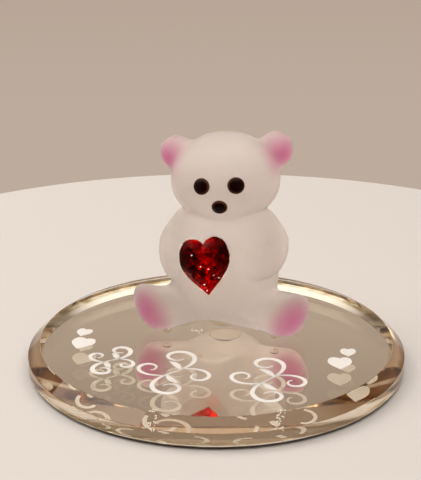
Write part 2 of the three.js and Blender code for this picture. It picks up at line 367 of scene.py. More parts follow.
def clear_glue():
    """Cured glue so clear that it hardly bends the light."""
    clear = {"Base_Color": (0.95, 0.92, 0.84, 1), "Roughness": 0.05, "IOR": 1.03, "Transmission_Weight": 1.0}
    return plain_finish("cured_glue", (700, 2), relief=(0.0001, 0.5), **clear)


# ------------------------------ heart outline

STONE_WIDTH = 10
STONE_HEIGHT = 11
STONE_PLACE = (-2.55, -10.9, 15.75)
STONE_LEAN = 20
STONE_ROLL = 9.4
STONE_IN_BEAR = Matrix.Translation(STONE_PLACE) @ turned(90 - STONE_LEAN, "X") @ turned(STONE_ROLL)
STONE_AXES = BEAR_AXES @ STONE_IN_BEAR
LOBE_SHADE_FROM = (1.6, 3.4)  # how far across the stone the painted shade on its red starts, and ends
FOIL_LEAN = 0.45


def bezier(a, b, c, d, count):
    t = np.arange(count)[:, None] / count
    a, b, c, d = (np.array(p, float) for p in (a, b, c, d))
    return (1 - t) ** 3 * a + 3 * (1 - t) ** 2 * t * b + 3 * (1 - t) * t**2 * c + t**3 * d


def heart_outline(width, height, count):
    """Heart, tip down, from the notch round the left lobe, turning left."""
    half = width / 2
    tip = (0, -0.5 * height)
    notch = (0, 0.42 * height)
    widest = 0.16 * height
    left = bezier(notch, (-0.3 * half, 0.6 * height), (-half, 0.588 * height), (-half, widest), count)
    down = bezier((-half, widest), (-half, -0.1 * height), (-0.36 * half, -0.32 * height), tip, count)
    up = bezier(tip, (0.36 * half, -0.32 * height), (half, -0.1 * height), (half, widest), count)
    right = bezier((half, widest), (half, 0.588 * height), (0.3 * half, 0.6 * height), notch, count)
    return np.vstack([left, down, up, right])


# ------------------------------ bear's skin

SKIN_STEP = 0.36
HEAD_BALLS = [
    {"middle": (0, 0, 0), "half": (10.9, 9.5, 8.9)},
    {"middle": (0, -0.6, -1.6), "half": (10.5, 8.8, 7.4)},
]
MUZZLE = {"middle": (0, -7, -3), "half": (4.6, 3, 3.4)}
EARS = [
    {"middle": (-9.75, 1.5, 4.5), "half": (3.5, 2.5, 3.6)},
    {"middle": (10.25, 1.5, 4.9), "half": (3.55, 2.5, 3.7)},
]
BODY_BALLS = [
    {"middle": (0, -0.6, 10.2), "half": (11, 9.8, 10.9)},
    {"middle": (0, -0.7, 18.6), "half": (10.6, 9.6, 9.6)},
]
ARM_THICKNESS = 3.7
LEFT_ARM = [(-7.4, 0, 20.6), (-9.7, -1.2, 17), (-8.6, -4.4, 13.9), (-5.2, -6.4, 14)]
RIGHT_ARM = [(7.2, 0, 21), (9.4, -1.4, 18.2), (8.9, -4.4, 15.9), (6.9, -6.8, 15.8)]
LEG_THICKNESS = 4.2
RIGHT_LEG = [(3.5, -3.4, 5), (8, -4.6, 4.5), (12, -5.4, 4.5)]
FOOT_MIDDLE = np.array([14, -6.7, 4.85])
FOOT_HALF = (3.7, 2.6)
FOOT_LENGTH = {-1: 5.45, 1: 5.15}
FOOT_DROP = {-1: 0.1, 1: 0.45}
TOE = np.array([0.53, 0.07, 0.84])
SOLE = np.array([0.45, -0.87, -0.22])
BLEND = {"head": 1.5, "ear": 1.6, "muzzle": 3, "body": 3, "arm": 1.2, "leg": 2.2, "foot": 2.2, "neck": 1.1}
SEAT_LEVEL = 0.35
ARCH = {"rise": 2.6, "middle": -2.2, "reach": 6.2, "start": 1.5, "fade": 5}
SOCKET = {"room": 0.15, "depth": 0.5, "slope": 0.52}
CUT_SOFTNESS = {"seat": 0.5, "socket": 0.3}
# The corners of the net's box. The low one is off the round half millimetre, where a cell
# at the socket's brim would meet the skin twice.
NET_LOW = np.array([-20.55, -15.55, -1.05])
NET_HIGH = np.array([20.5, 11, 43.5])


def melted(a, b, reach):
    """Two distances joined as glass flows together, over about that reach."""
    share = np.clip(0.5 + 0.5 * (b - a) / reach, 0, 1)
    return b + (a - b) * share - reach * share * (1 - share)


def to_ball(points, middle, half, turn=None):
    """Distance from points to an ellipsoid, good near its surface."""
    away = points - np.asarray(middle, float)
    if turn is not None:
        away = away @ turn
    near = np.linalg.norm(away / half, axis=1)
    slope = np.linalg.norm(away / np.square(half), axis=1)
    return near * (near - 1) / np.maximum(slope, 1e-9)


def smooth_path(corners, count):
    """Points along a curve through the corners."""
    p = np.asarray(corners, float)
    p = np.vstack([2 * p[0] - p[1], p, 2 * p[-1] - p[-2]])
    found = []
    for i in range(1, len(p) - 2):
        for t in np.arange(count) / count:
            a, b, c, d = p[i - 1 : i + 3]
            straight = 2 * b + (c - a) * t
            bow, twist = 2 * a - 5 * b + 4 * c - d, 3 * b - a - 3 * c + d
            found.append(0.5 * (straight + bow * t**2 + twist * t**3))
    return np.array(found + [p[-2]])


def to_limb(points, corners, thickness):
    """Distance from points to a round limb along a curve."""
    path = smooth_path(corners, 3)
    nearest = np.full(len(points), np.inf)
    for start, end in zip(path, path[1:]):
        along = end - start
        share = np.clip((points - start) @ along / (along @ along), 0, 1)
        nearest = np.minimum(nearest, np.linalg.norm(points - start - share[:, None] * along, axis=1))
    return nearest - thickness


def foot_axes(side):
    """Columns across the foot, out of its back and towards its toe, and its middle."""
    mirror = np.array([side, 1, 1])
    toe = TOE * mirror / np.linalg.norm(TOE)
    sole = SOLE * mirror
    sole = sole - (sole @ toe) * toe
    back = -sole / np.linalg.norm(sole)
    middle = FOOT_MIDDLE * mirror - (0, 0, FOOT_DROP[side])
    return np.column_stack([np.cross(back, toe), back, toe]), middle


def to_skin(points):
    """Distance from points, in the bear's axes, to its skin."""
    head_turn = np.array(HEAD_AXES)[:3, :3]
    in_head = (points - HEAD_MIDDLE) @ head_turn
    head = melted(*(to_ball(in_head, **ball) for ball in HEAD_BALLS), BLEND["head"])
    head = melted(head, to_ball(in_head, **MUZZLE), BLEND["muzzle"])
    for ear in EARS:
        head = melted(head, to_ball(in_head, **ear), BLEND["ear"])
    body = melted(*(to_ball(points, **ball) for ball in BODY_BALLS), BLEND["body"])
    for arm in (LEFT_ARM, RIGHT_ARM):
        body = melted(body, to_limb(points, arm, ARM_THICKNESS), BLEND["arm"])
    for side in (-1, 1):
        leg = to_limb(points, np.array(RIGHT_LEG) * (side, 1, 1), LEG_THICKNESS)
        turn, middle = foot_axes(side)
        leg = melted(leg, to_ball(points, middle, (*FOOT_HALF, FOOT_LENGTH[side]), turn), BLEND["foot"])
        body = melted(body, leg, BLEND["leg"])
    return melted(head, body, BLEND["neck"])


def to_outline(points, outline):
    """Distance from points to a closed outline in a plane, below zero inside it."""
    nearest = np.full(len(points), np.inf)
    inside = np.zeros(len(points), bool)
    for start, end in zip(outline, np.roll(outline, -1, axis=0)):
        along = end - start
        away = points - start
        share = np.clip(away @ along / (along @ along), 0, 1)
        nearest = np.minimum(nearest, ((away - share[:, None] * along) ** 2).sum(1))
        crosses = (start[1] > points[:, 1]) != (end[1] > points[:, 1])
        rise = along[1] if abs(along[1]) > 1e-12 else 1e-12
        inside ^= crosses & (away[:, 0] < along[0] * away[:, 1] / rise)
    return np.sqrt(nearest) * np.where(inside, -1, 1)


def to_socket(points):
    """Distance to the hollow that holds the stone, above zero outside it."""
    turn = np.array(STONE_IN_BEAR)
    in_stone = (points - turn[:3, 3]) @ turn[:3, :3]
    brim = to_outline(in_stone[:, :2], heart_outline(STONE_WIDTH, STONE_HEIGHT, 8)) - SOCKET["room"]
    floor = -(in_stone[:, 2] + SOCKET["depth"] - SOCKET["slope"] * np.minimum(brim, 0))
    return np.maximum(brim, floor)


def carved_skin(points):
    """The skin with its flat seat, the arch before it and the socket of the heart stone."""
    skin = to_skin(points)
    arch = ARCH["rise"] * np.exp(-(((points[:, 0] - ARCH["middle"]) / ARCH["reach"]) ** 2))
    arch *= np.clip((-points[:, 1] - ARCH["start"]) / ARCH["fade"], 0, 1)
    skin = -melted(-skin, points[:, 2] - SEAT_LEVEL - arch, CUT_SOFTNESS["seat"])
    near = (np.linalg.norm(points - STONE_PLACE, axis=1) < STONE_HEIGHT) & (skin < SKIN_STEP * 2)
    skin[near] = -melted(-skin[near], to_socket(points[near]), CUT_SOFTNESS["socket"])
    return skin


def slope_of(distance, points, step=0.02):
    axes = np.eye(3) * step
    return np.column_stack([(distance(points + a) - distance(points - a)) / (2 * step) for a in axes])


def net_over(distance, low, high, step):
    """Quads over the zero surface of a distance: one point for each cell it passes
    through, drawn onto the surface itself."""
    counts = np.ceil((np.array(high) - low) / step).astype(int) + 1
    grid = np.stack(np.meshgrid(*(np.arange(n) for n in counts), indexing="ij"), -1).reshape(-1, 3)
    value = distance(low + grid * step).reshape(counts)
    inside = value < 0
    cells = np.zeros(counts - 1, int)
    for corner in np.ndindex(2, 2, 2):
        cells += inside[tuple(slice(c, n - 1 + c) for c, n in zip(corner, counts))]
    used = (cells > 0) & (cells < 8)
    number = np.full(counts - 1, -1)
    number[used] = np.arange(used.sum())
    points = low + (np.argwhere(used) + 0.5) * step
    for _ in range(6):
        slope = slope_of(distance, points)
        pull = distance(points) / np.maximum((slope**2).sum(1), 1e-6)
        points = points - np.clip(pull, -step, step)[:, None] * slope
    faces = []
    for axis in range(3):
        u, v = (axis + 1) % 3, (axis + 2) % 3
        here = [slice(None)] * 3
        there = [slice(None)] * 3
        here[axis], there[axis] = slice(0, -1), slice(1, None)
        change = inside[tuple(here)].astype(int) - inside[tuple(there)]
        at = np.argwhere(change != 0)
        at = at[(at[:, u] > 0) & (at[:, v] > 0) & (at[:, u] < counts[u] - 1) & (at[:, v] < counts[v] - 1)]
        corners = []
        for du, dv in ((-1, -1), (0, -1), (0, 0), (-1, 0)):
            cell = at.copy()
            cell[:, u] += du
            cell[:, v] += dv
            corners.append(number[tuple(cell.T)])
        quads = np.stack(corners, 1)
        flipped = change[tuple(at.T)] < 0
        quads[flipped] = quads[flipped][:, ::-1]
        faces.append(quads)
    return points, np.concatenate(faces)


def relaxed(distance, points, faces, rounds):
    """Evens out the net, keeping its points on the surface."""
    pairs = np.concatenate([faces[:, [i, (i + 1) % 4]] for i in range(4)])
    pairs = np.concatenate([pairs, pairs[:, ::-1]])
    count = np.bincount(pairs[:, 0], minlength=len(points))[:, None]
    for _ in range(rounds):
        total = np.zeros_like(points)
        np.add.at(total, pairs[:, 0], points[pairs[:, 1]])
        points = 0.5 * points + 0.5 * total / count
        slope = slope_of(distance, points)
        points = points - (distance(points) / (slope**2).sum(1))[:, None] * slope
    return points


EAR_BLUSH = [
    {"middle": (-11.3, -0.5, 4.0), "reach": 3.6},
    {"middle": (11.8, -0.5, 4.5), "reach": 3.8},
]
SOLE_BLUSH = {"in": 0.7, "out": 2.4, "reach": 3.9, "depth": 0.7, "long": 5.4, "edge": 1.4}


def blush_at(points):
    """How pink the glass is, from 0 to 1: round the ears' outer lobes and the soles."""
    in_head = (points - HEAD_MIDDLE) @ np.array(HEAD_AXES)[:3, :3]
    blush = np.zeros(len(points))
    for spot in EAR_BLUSH:
        away = np.linalg.norm(in_head - spot["middle"], axis=1) / spot["reach"]
        blush = np.maximum(blush, np.exp(-(away**2)))
    for side in (-1, 1):
        turn, middle = foot_axes(side)
        in_foot = (points - middle) @ turn + (side * SOLE_BLUSH["in"], SOLE_BLUSH["out"], 0)
        size = (SOLE_BLUSH["reach"], SOLE_BLUSH["reach"] * SOLE_BLUSH["depth"], SOLE_BLUSH["long"])
        blush = np.maximum(blush, np.exp(-(((in_foot / size) ** 2).sum(1) ** SOLE_BLUSH["edge"])))
    return blush


def frosted_bear():
    """The whole bear as one skin of melted glass, with its blush stored on its points."""
    points, faces = net_over(carved_skin, NET_LOW, NET_HIGH, SKIN_STEP)
    points = relaxed(carved_skin, points, faces, 3)
    bear = new_piece("frosted_bear", points, faces, BEAR_AXES)
    blush = bear.data.attributes.new("blush", "FLOAT", "POINT")
    blush.data.foreach_set("value", blush_at(points).astype(np.float32))
    nodes = ["torso", "head", "ear_left", "ear_right", "arm_left", "arm_right", "leg_left", "leg_right"]
    finished(bear, FROSTED_GLASS, "frosted_glass", *nodes)


# ------------------------------ eyes and nose

BEADS = {
    "eye_left": {"across": -3.5, "up": 0.8, "half": (1.74, 0.75, 1.66)},
    "eye_right": {"across": 3.35, "up": 0.9, "half": (1.74, 0.75, 1.66)},
    "nose": {"across": 0, "up": -3.1, "half": (1.58, 0.75, 1.4)},
}
BEAD_STEPS = 20
BEAD_SIDES = 40
BRIM_REFLECTION_FROM = 0.76  # share of a bead's radius past which the painted brown reflection on its brim starts
BRIM_REFLECTION_OVER = 0.2


def face_axes(across, up):
    """Axes on the face, at a place across and up the head: across, up and out of it."""
    spot = np.array([HEAD_AXES @ Vector((across, -10, up))])
    for _ in range(8):
        slope = slope_of(to_skin, spot)
        spot[:, 1] -= to_skin(spot) / slope[:, 1]
    out = Vector(slope[0]).normalized()
    level = Vector((0, 0, 1)).cross(out).normalized()
    axes = Matrix((level, out.cross(level), out)).transposed().to_4x4()
    return Matrix.Translation(spot[0]) @ axes


def glass_bead(name, across, up, half):
    """A drop of dark glass melted onto the face: a flattened dome with a soft edge."""
    profile = []
    for i in range(BEAD_STEPS + 1):
        angle = math.pi * (i / BEAD_STEPS - 0.5)
        profile.append((abs(math.cos(angle)) ** 0.9, math.sin(angle)))
    profile[0], profile[-1] = (0, -1), (0, 1)
    stretch = Matrix.Diagonal((half[0], half[2], half[1], 1))
    axes = BEAR_AXES @ face_axes(across, up) @ stretch
    bead = lathe(name + "_bead", profile, BEAD_SIDES, axes=axes)
    rings = np.array([0] + [radius for radius, _ in profile[1:-1] for _ in range(BEAD_SIDES)] + [0])
    # Painted reflection: how far each point lies into the brim that is coloured brown for the room it would
    # reflect.
    thin = np.clip((rings - BRIM_REFLECTION_FROM) / BRIM_REFLECTION_OVER, 0, 1)
    painted_brim_reflection = bead.data.attributes.new("painted_brim_reflection", "FLOAT", "POINT")
    painted_brim_reflection.data.foreach_set("value", thin.astype(np.float32))
    finished(bead, BEAD_GLASS, "black_glass", name)


# ------------------------------ heart stone

GIRDLE = 0.15
CROWN = 1.4
PAVILION = 2.0
FOIL_THICKNESS = 0.12


def stone_ring(scale, height, count, shift=0.0):
    """One ring of the stone: the heart outline at a scale, started part of a facet along."""
    fine = heart_outline(STONE_WIDTH, STONE_HEIGHT, 24)
    places = ((np.arange(count) + shift) * len(fine) / count).astype(int) % len(fine)
    return np.column_stack([fine[places] * scale, np.full(count, height)])


def facet_band(low, low_count, high, high_count, shift):
    """Facets between two rings that start at those point numbers. shift is 1 where the
    upper ring is turned half a facet along, -1 where the lower one is, else 0."""
    faces = []
    more, fewer = max(low_count, high_count), min(low_count, high_count)
    for j in range(more):
        k = (j + 1) % more
        a, b = j // 2, (j + 1) // 2 % fewer
        if low_count > high_count:
            faces.append((low + j, low + k, high + b))
            if a != b:
                faces.append((low + j, high + b, high + a))
        elif low_count < high_count:
            faces.append((low + a, high + k, high + j))
            if a != b:
                faces.append((low + a, low + b, high + k))
        elif shift == 0:
            faces.append((low + j, low + k, high + k, high + j))
        elif shift > 0:
            faces += [(low + j, low + k, high + j), (low + k, high + k, high + j)]
        else:
            faces += [(low + j, high + k, high + j), (low + j, low + k, high + k)]
    return faces


STONE_FACETS = 22
# Scale, height, points as a share of the facets, and how far round the ring is turned.
STONE_LEVELS = [
    (0.05, -PAVILION, 1, 0.0),
    (0.34, -1.52, 1, 0.5),
    (0.62, -1.02, 1, 0.0),
    (0.84, -0.52, 1, 0.5),
    (1, -GIRDLE, 2, 0.0),
    (1, GIRDLE, 2, 0.0),
    (0.86, 0.62, 1, 0.25),
    (0.7, 1.08, 1, 0.75),
    (0.52, CROWN, 1, 0.25),
]
GIRDLE_LEVEL = 4


def heart_stone():
    """A pointed-back heart: small facets above and below a thin girdle, and foil on its
    back."""
    rings = [stone_ring(s, z, n * STONE_FACETS, shift) for s, z, n, shift in STONE_LEVELS]
    starts = np.cumsum([0] + [len(ring) for ring in rings]).tolist()
    points = np.vstack(rings)
    bands = []
    for r in range(len(rings) - 1):
        turned = STONE_LEVELS[r + 1][3] - STONE_LEVELS[r][3]
        shift = int(np.sign(turned))
        bands.append(facet_band(starts[r], len(rings[r]), starts[r + 1], len(rings[r + 1]), shift))
    culet = tuple(range(STONE_FACETS))[::-1]
    table = tuple(range(starts[-2], starts[-1]))
    crystal_faces = sum(bands, []) + [culet, table]
    crystal = new_piece("heart_stone", points, crystal_faces, STONE_AXES, smooth=False)
    finished(crystal, RED_CRYSTAL, "red_crystal", "heart_crystal")

    size = starts[GIRDLE_LEVEL + 1]
    inner = points[:size] * (1.012, 1.012, 1) - (0, 0, FILM)
    outer = points[:size] * (1.03, 1.03, 1) - (0, 0, FOIL_THICKNESS)
    back = sum(bands[:GIRDLE_LEVEL], []) + [culet]
    shell = [face[::-1] for face in back] + [tuple(v + size for v in face) for face in back]
    rim = starts[GIRDLE_LEVEL]
    count = size - rim
    for j in range(count):
        k = (j + 1) % count
        shell.append((rim + j, rim + k, rim + size + k, rim + size + j)[::-1])
    foil = new_piece("heart_foil_back", np.vstack([inner, outer]), shell, STONE_AXES, smooth=False)
    finished(foil, STONE_FOIL, "foil", "heart_foil")


GLINTS = [
    {"place": (-2.28, 2.7), "size": (0.2, 0.16), "turn": 10},
    {"place": (-0.75, 0.26), "size": (0.24, 0.15), "turn": -35},
    {"place": (0.77, -0.4), "size": (0.2, 0.15), "turn": 60},
    {"place": (2.44, -2.3), "size": (0.52, 0.14), "turn": -20},
    {"place": (1.6, -1.7), "size": (0.3, 0.1), "turn": 25},
    {"place": (-0.42, -3.33), "size": (0.22, 0.18), "turn": 40},
    {"place": (-0.1, -4.6), "size": (0.14, 0.2), "turn": 0},
]
GLINT_LEAN = 30
GLINT_HALF_THICKNESS = 0.04
GLINT_LIFT = 0.02


def crown_height(place):
    """Height of the stone's upper side at a place across and up it."""
    outline = heart_outline(STONE_WIDTH, STONE_HEIGHT, 24)
    low, high = 0.02, 1
    for _ in range(16):
        scale = (low + high) / 2
        inside = to_outline(np.array([place]) / scale, outline)[0] < 0
        low, high = (low, scale) if inside else (scale, high)
    crown = STONE_LEVELS[:GIRDLE_LEVEL:-1]
    return float(np.interp(high, [level[0] for level in crown], [level[1] for level in crown]))


def stone_glints():
    """Painted glints: pale flakes at the facets' corners, low eight-sided points."""
    points, faces = [], []
    corners = [(1, 0, 0), (0, 1, 0), (-1, 0, 0), (0, -1, 0), (0, 0, 1), (0, 0, -1)]
    for glint in GLINTS:
        start = len(points)
        middle = Vector((*glint["place"], crown_height(glint["place"]) + GLINT_LIFT))
        turn = turned(-GLINT_LEAN, "X") @ turned(glint["turn"])
        for corner in corners:
            share = Vector(corner) * Vector((*glint["size"], GLINT_HALF_THICKNESS))
            points.append(tuple(middle + turn @ share))
        for j in range(4):
            k = (j + 1) % 4
            faces += [(start + j, start + k, start + 4), (start + k, start + j, start + 5)]
    chips = new_piece("stone_glints", points, faces, STONE_AXES, smooth=False)
    finished(chips, GLINT_FLAKE_PAINT, "red_crystal")


# ------------------------------ printed ornament

INK_HEIGHT = 0.1
PEN_TIP = 0.3
INK_TAPER = 0.9  # width of a stroke's top for each of its foot
STROKE_STEPS = 72
FLOURISH_HALF = [
    {"start": (0, 0), "heading": 52, "length": 21, "bend": 0, "curl": 36, "width": 1},
    {"start": (1.4, 1.9), "heading": 14, "length": 14.5, "bend": -3, "curl": -46, "width": 0.8},
    {"start": (1, 1.4), "heading": 112, "length": 4.6, "bend": 9, "curl": 9, "width": 1.3},
]
FLOURISHES = {
    "scroll_left": {"place": (-18.3, -14.5), "turn": -14, "size": 0.66},
    "scroll_middle": {"place": (-5.2, -17.6), "turn": -2, "size": 0.98},
    "scroll_right": {"place": (13.4, -17.6), "turn": 6, "size": 0.98},
}


class Tree(Nodes):
    """A Geometry Nodes tree in the making."""

    def __init__(self, name, inputs):
        super().__init__(bpy.data.node_groups.new(name, "GeometryNodeTree"))
        sockets = self.tree.interface
        self.sockets = {}
        for label, kind in inputs.items():
            made = sockets.new_socket(label, in_out="INPUT", socket_type="NodeSocket" + kind)
            self.sockets[label] = made.identifier
        sockets.new_socket("Geometry", in_out="OUTPUT", socket_type="NodeSocketGeometry")
        self.given = self.tree.nodes.new("NodeGroupInput").outputs

    def make(self, kind, *values, named=None, **settings):
        """The first output of a node."""
        return self.node(kind, *values, named=named, **settings).outputs[0]

    def finish(self, geometry, material):
        real = self.make("GeometryNodeRealizeInstances", geometry)
        done = self.make("GeometryNodeSetMaterial", real, None, material)
        self.node("NodeGroupOutput", done)

    def grow(self, name, values):
        """The plain mesh that the tree makes from these values."""
        holder = in_scene(name, bpy.data.meshes.new(name))
        modifier = holder.modifiers.new("grow", "NODES")
        modifier.node_group = self.tree
        for label, value in values.items():
            modifier[self.sockets[label]] = value
        evaluated = holder.evaluated_get(bpy.context.evaluated_depsgraph_get())
        mesh = bpy.data.meshes.new_from_object(evaluated)
        bpy.data.objects.remove(holder)
        return mesh


def pen_tree():
    """A pen stroke whose bend grows steadily, thin at both ends, and the same turned half
    round, laid on the glass."""
    inputs = {"Start": "Vector", "Place": "Vector", "Steps": "Int", "Ink": "Material"}
    for label in ("Heading", "Length", "Bend", "Curl", "Width", "Tip Width", "Ink Height", "Turn"):
        inputs[label] = "Float"
    tree = Tree("pen_stroke", inputs)
    given, make, calc = tree.given, tree.make, tree.calc
    length, steps, bend = given["Length"], given["Steps"], given["Bend"]
    width, tip = given["Width"], given["Tip Width"]

    index = make("GeometryNodeInputIndex")
    step = calc("DIVIDE", length, steps)
    middle = calc("MULTIPLY", calc("ADD", index, 0.5), step)
    gain = calc("DIVIDE", calc("SUBTRACT", given["Curl"], bend), length)
    steady = calc("MULTIPLY", bend, middle)
    growing = calc("MULTIPLY", calc("MULTIPLY", gain, 0.5), calc("POWER", middle, 2))
    angle = calc("ADD", given["Heading"], calc("ADD", steady, growing))
    stride = make(
        "ShaderNodeCombineXYZ", *(calc("MULTIPLY", calc(way, angle), step) for way in ("COSINE", "SINE"))
    )
    travelled = tree.node("GeometryNodeAccumulateField", stride, data_type="FLOAT_VECTOR")
    spot = tree.vector("ADD", travelled.outputs["Trailing"], given["Start"])
    line = {"Curve": make("GeometryNodeCurvePrimitiveLine"), "Count": calc("ADD", steps, 1)}
    even = make("GeometryNodeResampleCurve", mode="COUNT", named=line)
    path = make("GeometryNodeSetPosition", named={"Geometry": even, "Position": spot})
    upright = make("GeometryNodeSetCurveNormal", mode="Z_UP", named={"Curve": path})

    swell = calc("SINE", calc("MULTIPLY", calc("DIVIDE", index, steps), math.pi))
    width_here = calc("ADD", tip, calc("MULTIPLY", calc("SUBTRACT", width, tip), swell))
    sizes = {"Bottom Width": width, "Top Width": calc("MULTIPLY", width, INK_TAPER)}
    sizes.update({"Height": given["Ink Height"], "Offset": 0})
    section = make("GeometryNodeCurvePrimitiveQuadrilateral", mode="TRAPEZOID", named=sizes)
    stroke = {"Curve": upright, "Profile Curve": section, "Scale": calc("DIVIDE", width_here, width)}
    stroke["Fill Caps"] = True
    film = make("GeometryNodeCurveToMesh", named=stroke)

    half_turn = make("ShaderNodeCombineXYZ", None, None, calc("MULTIPLY", index, math.pi))
    pair = {"Points": make("GeometryNodePoints", 2), "Instance": film, "Rotation": half_turn}
    both = make("GeometryNodeInstanceOnPoints", named=pair)
    turn = make("ShaderNodeCombineXYZ", None, None, given["Turn"])
    place = {"Geometry": both, "Translation": given["Place"], "Rotation": turn}
    tree.finish(make("GeometryNodeTransform", named=place), given["Ink"])
    return tree


def flourish(tree, name, place, turn, size):
    """One scroll of the border: its strokes share a middle."""
    meshes = []
    for mark in FLOURISH_HALF:
        values = {
            "Start": (mark["start"][0] * size * MM, mark["start"][1] * size * MM, 0),
            "Heading": math.radians(mark["heading"]),
            "Length": mark["length"] * size * MM,
            "Bend": math.radians(mark["bend"]) / size / MM,
            "Curl": math.radians(mark["curl"]) / size / MM,
            "Width": mark["width"] * MM,
            "Tip Width": PEN_TIP * MM,
            "Ink Height": INK_HEIGHT * MM,
            "Steps": STROKE_STEPS,
            "Place": (place[0] * MM, place[1] * MM, (TOP_LEVEL + INK_HEIGHT / 2 - FILM) * MM),
            "Turn": math.radians(turn),
            "Ink": WHITE_INK,
        }
        meshes.append(tree.grow(name + "_stroke", values))
    points = np.vstack([[v.co / MM for v in mesh.vertices] for mesh in meshes])
    faces = []
    start = 0
    for mesh in meshes:
        faces += [tuple(v + start for v in face.vertices) for face in mesh.polygons]
        start += len(mesh.vertices)
    scroll = new_piece(name + "_ink", points, faces, smooth=False)
    finished(scroll, WHITE_INK, "white_ink", name)


PRINT_HEARTS = {
    "small": {"width": 3.2, "height": 3.6, "bearing": 85},
    "large": {"width": 4.8, "height": 5.4, "bearing": 73.5},
}
HEART_CIRCLE = 27.2
HEART_LEAN = 8


def print_heart(name, side, width, height, bearing):
    """A flat heart of ink with a rounded brim."""
    outline = heart_outline(width, height, 16)
    levels = [(1, 0), (1, 0.5 * INK_HEIGHT), (0.975, 0.85 * INK_HEIGHT), (0.94, INK_HEIGHT)]
    points = [(0, 0, 0)]
    for scale, level in levels:
        points += [(x * scale, y * scale, level) for x, y in outline]
    points.append((0, 0, INK_HEIGHT))
    around = math.radians(side * bearing)
    middle = (HEART_CIRCLE * math.sin(around), -HEART_CIRCLE * math.cos(around), TOP_LEVEL - FILM)
    axes = Matrix.Translation(middle) @ turned(side * HEART_LEAN)
    faces = stacked_faces(len(levels), len(outline))
    heart = new_piece(name + "_ink", points, faces, axes, smooth=False)
    finished(heart, WHITE_INK, "white_ink", name)


# ------------------------------ mirror plate


def mirror_plate():
    """Bevelled glass: polished flats with fine arrises between them."""
    radius, height = PLATE_RADIUS, TOP_LEVEL - GLASS_LEVEL
    step = EDGE_STEP
    profile = [
        (0, -FILM),
        (radius - ARRIS, -FILM),
        (radius, ARRIS),
        (radius, height - BEVEL_DROP - step),
        (radius - step / 2, height - BEVEL_DROP),
        (radius - BEVEL_WIDTH + step / 2, height - step / 4),
        (radius - BEVEL_WIDTH - step / 2, height),
        (0, height),
    ]
    axes = Matrix.Translation((0, 0, GLASS_LEVEL))
    plate = lathe("mirror_plate", profile, 288, sharp=range(1, 7), axes=axes)
    finished(plate, PLATE_GLASS, "clear_glass", "mirror_glass")


def bumper(name):
    """A soft clear foot: a low dome with a rounded brim, flat where it grips."""
    low, high = box_of(name)
    middle = (low + high) / 2
    radius, height = (high.x - low.x) / 2, high.z - low.z
    profile = [(0, 0), (0.72 * radius, 0), (0.88 * radius, 0.12 * height), (0.97 * radius, 0.4 * height)]
    profile += [(radius, 0.7 * height), (0.99 * radius, height - FILM), (0, height - FILM)]
    axes = Matrix.Translation((middle.x, middle.y, low.z))
    foot = lathe(name + "_pad", profile, 48, sharp=(1, 5), axes=axes)
    finished(foot, CLEAR_VINYL, "bumper_vinyl", name)


# ------------------------------ adhesive

WETTED = 0.62  # radius of a pool for each of its bed
POOL_STEPS = 5
POOL_WAIST = 0.16  # how far the pool draws in towards its top, as a share of its radius


def glue_pool(name):
    """A pool of clear glue with a hollow brim, where it wets the glass."""
    low, high = box_of(name)
    middle = (low + high) / 2
    radius, height = (high.x - low.x) / 2, high.z - low.z
    squeeze = (high.y - low.y) / (high.x - low.x)
    radius *= WETTED
    profile = [(0, FILM), (radius, FILM)]
    for i in range(1, POOL_STEPS + 1):
        rise = i / POOL_STEPS
        inwards = POOL_WAIST * (1 - (1 - rise) ** 2) ** 0.5
        profile.append((radius * (1 - inwards), FILM + (height - FILM) * rise**1.5))
    profile.append((0, height))
    axes = Matrix.Translation((middle.x, middle.y, low.z)) @ turned(BEAR_TURN)
    pool = lathe(name + "_pool", profile, 96, sharp=(1,), axes=axes, squeeze=squeeze)
    finished(pool, CLEAR_GLUE, "clear_adhesive", name)


BUBBLE_RADIUS = 0.2
BUBBLE_SCALES = (0.45, 1.0)


def bubble_tree():
    """Small round bubbles strewn through a flat patch, which falls away past a brim."""
    inputs = {"Count": "Int", "Seed": "Int", "Patch": "Vector", "Place": "Vector", "Air": "Material"}
    inputs.update({"Radius": "Float", "Brim": "Float", "Fall": "Float"})
    tree = Tree("bubbles", inputs)
    given, make, calc = tree.given, tree.make, tree.calc
    strewn = {"Min": (-1, -1, -1), "Max": (1, 1, 1), "Seed": given["Seed"]}
    spread = make("FunctionNodeRandomValue", data_type="FLOAT_VECTOR", named=strewn)
    spot = tree.vector("ADD", tree.vector("MULTIPLY", spread, given["Patch"]), given["Place"])
    x, y, z = tree.node("ShaderNodeSeparateXYZ", spot).outputs
    reach = calc("SQRT", calc("ADD", calc("POWER", x, 2), calc("POWER", y, 2)))
    past = calc("MAXIMUM", calc("SUBTRACT", reach, given["Brim"]), 0)
    level = calc("SUBTRACT", z, calc("MULTIPLY", past, given["Fall"]))
    points = make("GeometryNodePoints", given["Count"], make("ShaderNodeCombineXYZ", x, y, level))
    ball = make("GeometryNodeMeshIcoSphere", given["Radius"], 2)
    size = tree.node("FunctionNodeRandomValue", *BUBBLE_SCALES, None, given["Seed"], data_type="FLOAT")
    scale = next(socket for socket in size.outputs if socket.enabled)
    bubbles = {"Points": points, "Instance": ball, "Scale": scale}
    tree.finish(make("GeometryNodeInstanceOnPoints", named=bubbles), given["Air"])
    return tree


# Patches of bubbles: their middles over the plate, their half sizes and their counts.
BUBBLES = {
    "belly": {"place": (-4.4, -9.2, 1.0), "patch": (1.6, 1.0, 0.3), "count": 16, "seed": 3},
    "left_foot": {"place": (-11.6, -6.6, 0.3), "patch": (0.9, 1.2, 0.1), "count": 12, "seed": 5},
    "right_foot": {"place": (11.6, -6.6, 0.3), "patch": (0.9, 1.2, 0.1), "count": 12, "seed": 8},
}
